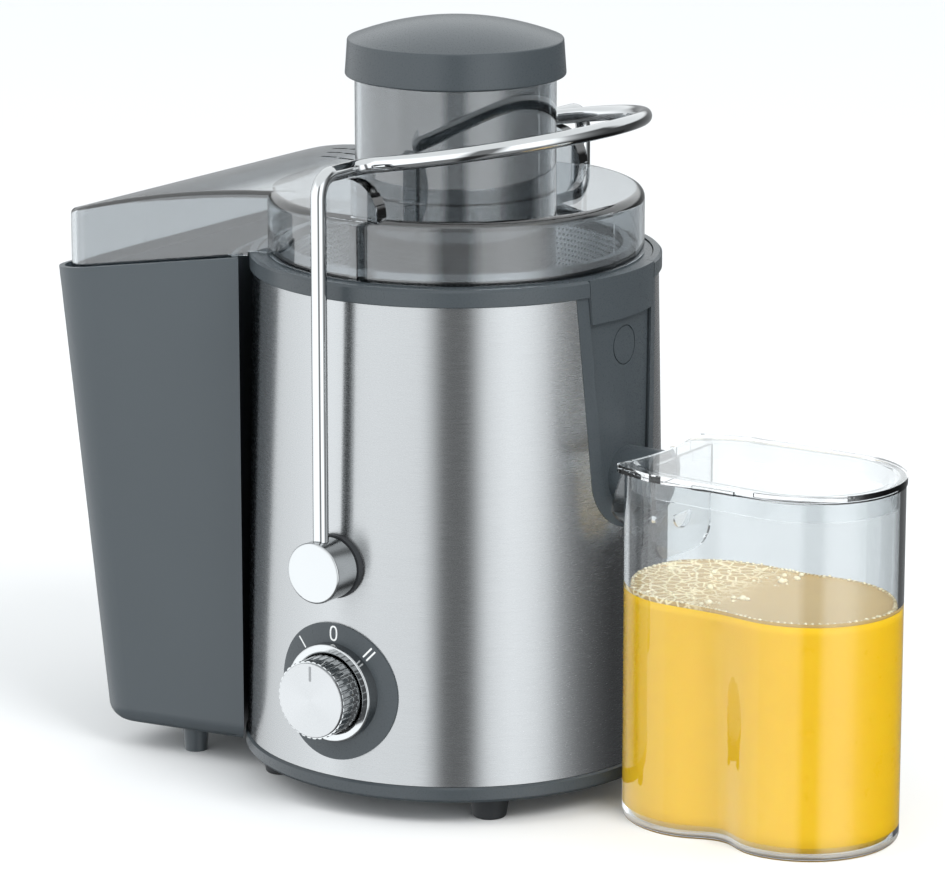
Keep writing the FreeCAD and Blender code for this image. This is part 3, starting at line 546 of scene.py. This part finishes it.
def juice():
    """Juice from the jug's floor up to its level, soaking a little way into the wall."""
    floor = 3.0 * MM
    sink = 0.4 * MM             # how far the juice's underside lies inside the floor
    lowest_probe = 3.3 * MM     # the wall isn't looked for below this
    soak = 0.5 * MM
    tuck = 2.0 * MM             # the underside is drawn in by this
    steps = 26
    levels = [floor + (JUICE_TOP - floor) * i / steps for i in range(steps + 1)]
    levels[0] -= sink
    points, faces = [], []
    for i, level in enumerate(levels):
        points += jug_inside(max(level, lowest_probe), soak - (tuck if i == 0 else 0))
    for point in points[:LOOP_COUNT]:
        point.z = levels[0]
    for step in range(steps):
        faces += band(step * LOOP_COUNT, (step + 1) * LOOP_COUNT, LOOP_COUNT)
    faces += [cap(0, LOOP_COUNT, turned_over=True), cap(steps * LOOP_COUNT, LOOP_COUNT)]
    piece = mesh_piece("orange_juice", points, faces, juice_paint(), "jug")
    piece.visible_glossy = False


def froth_height(source):
    """A function for the height of the froth at a point, share of the way out to the wall."""
    waves = []
    for _ in range(9):
        along, across = source.uniform(60, 260), source.uniform(60, 260)
        waves.append((along, across, source.uniform(0, 6), source.uniform(0.1, 0.35)))
    layer = 0.6 * MM
    swell = 0.125 * MM
    heap, heap_length = 0.8 * MM, 75 * MM       # below the spout
    cling = 0.7 * MM                            # at the wall

    def height(x, y, share):
        wave = sum(size * math.sin(along * x + across * y + shift)
                   for along, across, shift, size in waves)
        near_spout = max(0.0, 1 - (x - JUG_LOW.x) / heap_length)
        return JUICE_TOP + layer + swell * wave + heap * near_spout + cling * share ** 20

    return height


def froth():
    """Uneven layer of froth, higher where it clings to the wall, with bubbles on it."""
    source = random.Random(7)
    height = froth_height(source)
    rings = 26
    middle_share = 0.02         # the innermost ring is this small, not a point
    depth = 0.8 * MM            # how far the froth reaches down into the juice
    rim = [Vector((p.x, p.y, 0)) for p in jug_inside(JUICE_TOP, 0.4 * MM)]
    points, faces = [], []
    for ring in range(rings + 1):
        share = ring / rings
        for edge in rim:
            at = JUG_MID.lerp(edge, max(share, middle_share))
            points.append(Vector((at.x, at.y, height(at.x, at.y, share))))
    underside = len(points)
    points += [Vector((p.x, p.y, JUICE_TOP - depth)) for p in rim]
    for ring in range(rings + 1):
        faces += band(ring * LOOP_COUNT, (ring + 1) * LOOP_COUNT, LOOP_COUNT, turned_over=True)
    faces += [cap(0, LOOP_COUNT), cap(underside, LOOP_COUNT, turned_over=True)]
    piece = mesh_piece("froth", points, faces, foam_paint(), "jug")
    piece.visible_glossy = False
    bubbles(bubble_spots(source, rim, height))


def bubble_spots(source, rim, height):
    """Places and sizes: a row of tiny bubbles along the wall, larger ones below the spout."""
    tries = 700
    spout_side = JUG_LOW.x + 60 * MM
    smallest, wall_extra, spout_extra = 0.25 * MM, 0.5 * MM, 1.3 * MM
    lift = 0.05 * MM
    spots = []
    for _ in range(tries):
        edge = rim[source.randrange(LOOP_COUNT)]
        by_wall = source.random() < 0.75
        share = source.uniform(0.965, 0.99) if by_wall else source.uniform(0.3, 0.97)
        at = JUG_MID.lerp(edge, share)
        if not by_wall and at.x > spout_side:
            continue
        size = smallest + (wall_extra if by_wall else spout_extra) * source.random() ** 3
        spots.append((Vector((at.x, at.y, height(at.x, at.y, share) + lift)), size))
    return spots


def bubbles(spots):
    """All the bubbles as one piece, each the upper half of a ball."""
    points, faces = [], []
    across, up = 10, 4
    for at, size in spots:
        start = len(points)
        for row in range(up):
            lift = math.pi / 2 * row / up
            for i in range(across):
                turn = math.tau * i / across
                way = Vector((math.cos(turn) * math.cos(lift), math.sin(turn) * math.cos(lift),
                              math.sin(lift)))
                points.append(at + way * size)
        peak = len(points)
        points.append(at + Vector((0, 0, size)))
        for row in range(up - 1):
            faces += band(start + row * across, start + (row + 1) * across, across)
        last = start + (up - 1) * across
        for i in range(across):
            faces.append((last + i, last + (i + 1) % across, peak))
        faces.append(cap(start, across, turned_over=True))
    piece = mesh_piece("froth_bubbles", points, faces, bubble_paint(), "jug")
    piece.visible_glossy = False


def bubble_paint():
    """Film of a bubble: pale, smooth and a little clear."""
    made, paint = material("bubble_film")
    tint = paint.noise(paint.place(), 240, 2)
    paint.finish({
        "Base Color": paint.blend(tint, (0.90, 0.78, 0.50), (0.98, 0.90, 0.68)),
        "Roughness": 0.08,
        "Transmission Weight": 0.15,
        "IOR": 1.2,
    })
    return made


# ---- studio ----
def make_floor():
    side = 6.0
    corners = [(-side, -side, 0), (side, -side, 0), (side, side, 0), (-side, side, 0)]
    mesh = bpy.data.meshes.new("floor")
    mesh.from_pydata(corners, [], [(0, 1, 2, 3)])
    floor = bpy.data.objects.new("floor", mesh)
    bpy.context.scene.collection.objects.link(floor)
    made, paint = material("pale_floor")
    mottle = paint.noise(paint.place(), 3, 3)
    paint.finish({
        "Base Color": paint.blend(mottle, (0.86, 0.87, 0.875), (0.88, 0.89, 0.895)),
        "Roughness": 0.9,
        "Specular IOR Level": 0.1,
    })
    mesh.materials.append(made)
    floor.visible_glossy = False


# Brightness of the studio around the juicer, by degrees to the right of the camera: two tall
# soft boxes with a dark gap between them, and dark sides.
STUDIO = (
    (-180, 0.20), (-160, 0.14), (-148, 0.45), (-130, 0.70), (-115, 0.88), (-98, 1.00), (-72, 1.18),
    (-60, 1.02), (-48, 1.08), (-18, 1.05), (-11, 0.50), (-7, 0.16), (7, 0.16), (10, 0.40),
    (17, 1.05), (30, 1.25), (42, 1.15), (51, 0.90), (60, 0.44), (70, 0.22), (82, 0.11),
    (95, 0.05), (125, 0.04), (150, 0.10), (180, 0.20),
)
STUDIO_TOP = 1.3
STUDIO_POWER = 2.0              # for gloss, against what lights matt surfaces
BACKDROP = (1.32, 1.36, 1.38)
MATT_LIGHT = (0.90, 0.92, 0.93)
LIGHT_AIM = Vector((0.02, 0, 0.14))


def make_world():
    world = bpy.data.worlds.new("studio")
    world.use_nodes = True
    bpy.context.scene.world = world
    paint = Paint(world.node_tree)
    parts = paint.node("SeparateXYZ", {0: paint.node("TexCoord").outputs["Generated"]}).outputs
    turn = paint.math("ARCTAN2", parts[1], parts[0])
    offset = CAMERA.rotation_euler.z - math.pi / 2
    aside = paint.math("WRAP", paint.math("SUBTRACT", turn, offset), math.pi, -math.pi)
    ramp = paint.node("ValToRGB", {0: paint.remap(aside, -math.pi, math.pi, 0, 1)})
    stops = ramp.color_ramp.elements
    while len(stops) > 1:
        stops.remove(stops[-1])
    for i, (degrees, bright) in enumerate(STUDIO):
        position = (degrees + 180) / 360
        stop = stops[0] if i == 0 else stops.new(position)
        stop.position = position
        tone = bright / STUDIO_TOP
        stop.color = (tone * 0.97, tone, tone * 1.02, 1)
    power = STUDIO_TOP * STUDIO_POWER
    bands = paint.scaled(ramp.outputs[0], (power, power, power))

    # the pale backdrop behind the juicer and the white ceiling above it
    away = paint.math("ABSOLUTE", aside)
    behind = paint.remap(away, math.radians(95), math.radians(115), 0, 1, smooth=True)
    low_edge = paint.remap(parts[2], 0.08, 0.24, 0, 1, smooth=True)
    ceiling = paint.remap(parts[2], 0.50, 0.72, 0, 1, smooth=True)
    height = paint.math("MAXIMUM", paint.math("MULTIPLY", behind, low_edge), ceiling)
    dim = paint.remap(parts[2], -0.62, -0.36, 0.15, 1, smooth=True)
    bands = paint.node("VectorMath", {0: bands, "Scale": dim}, operation="SCALE").outputs[0]
    around = paint.blend(height, bands, BACKDROP)
    rays = paint.node("LightPath").outputs
    lit = paint.blend(rays["Is Diffuse Ray"], around, MATT_LIGHT)
    colour = paint.blend(rays["Is Camera Ray"], lit, (1.0, 1.0, 1.0))
    shader = paint.node("Background", {"Color": colour, "Strength": 1.0}).outputs[0]
    paint.node("OutputWorld", {"Surface": shader})


def make_light(name, at, size, power):
    lamp = bpy.data.lights.new(name, "AREA")
    lamp.size = size
    lamp.energy = power
    light = bpy.data.objects.new(name, lamp)
    light.location = at
    light.rotation_euler = (LIGHT_AIM - Vector(at)).to_track_quat("-Z", "Y").to_euler()
    light.visible_glossy = False
    bpy.context.scene.collection.objects.link(light)


paint_frame()
nodes["jug"].visible_glossy = False
dial_marks()
knob_pointer()
juice()
froth()
make_floor()
make_world()
make_light("key_light", (-1.3, -1.5, 1.9), size=1.2, power=12)
make_light("fill_light", (1.5, -0.6, 1.7), size=1.0, power=25)
